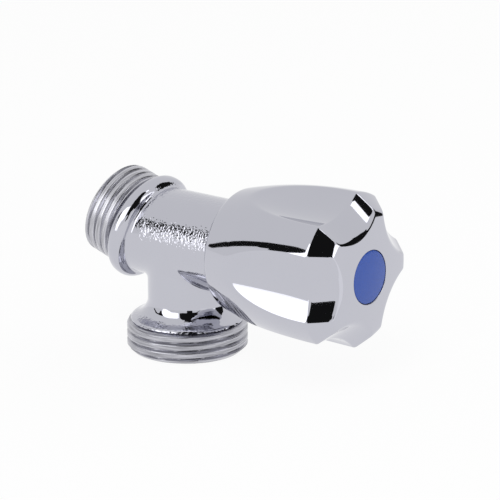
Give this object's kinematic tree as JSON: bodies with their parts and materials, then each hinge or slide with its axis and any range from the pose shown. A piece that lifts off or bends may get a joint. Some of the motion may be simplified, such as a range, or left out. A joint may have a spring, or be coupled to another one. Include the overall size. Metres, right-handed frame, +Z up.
{
  "type": "washing machine valve",
  "caption": "Chromed angle valve for a washing machine: threaded inlet in line with a star handle, threaded hose outlet below, screw-down headwork inside.",
  "frame": {"origin": "centre of the outlet's flat end face, on the axis of the outlet thread", "axes": "+Z up from the outlet towards the handle axis, +Y towards the inlet that screws into the wall fitting, -Y towards the handle, X across"},
  "size_m": [0.0324, 0.0717, 0.0418],
  "materials": {
    "body_chrome": "polished chrome plate on cast brass, slightly orange-peeled",
    "handle_chrome": "mirror chrome plate on moulded ABS",
    "blue_plastic": "glossy moulded plastic",
    "brass": "machined",
    "steel": "zinc plated",
    "rubber": "matt",
    "fibre": "pressed fibre",
    "white_plastic": "acetal and PTFE"
  },
  "bodies": {
    "body": {"valve_body": "body_chrome", "bonnet": "brass", "bonnet_gasket": "fibre", "thrust_ring": "white_plastic"},
    "piston": {"piston": "brass", "piston_o_ring": "rubber", "seat_washer": "rubber", "washer_disc": "steel", "washer_screw": "steel"},
    "handle": {"spindle": "brass", "inner_o_ring": "rubber", "outer_o_ring": "rubber", "slip_washer": "white_plastic", "spindle_circlip": "steel", "handle_shell": "handle_chrome", "spline_bush": "brass", "lock_washer": "steel", "handle_screw": "steel", "index_cap": "blue_plastic"}
  },
  "joints": [
    {"name": "handle_turn", "type": "hinge", "parent": "body", "child": "handle", "pos_m": [0, -0.03, 0.02495], "axis": [0, -1, 0], "range_deg": [0, 900]},
    {"name": "piston_lift", "type": "slide", "parent": "body", "child": "piston", "axis": [0, -1, 0], "range_m": [0, 0.00375]}
  ],
  "couplings": [
    {"joint": "piston_lift", "follows": "handle_turn", "m_per_rad": 0.00023873}
  ]
}
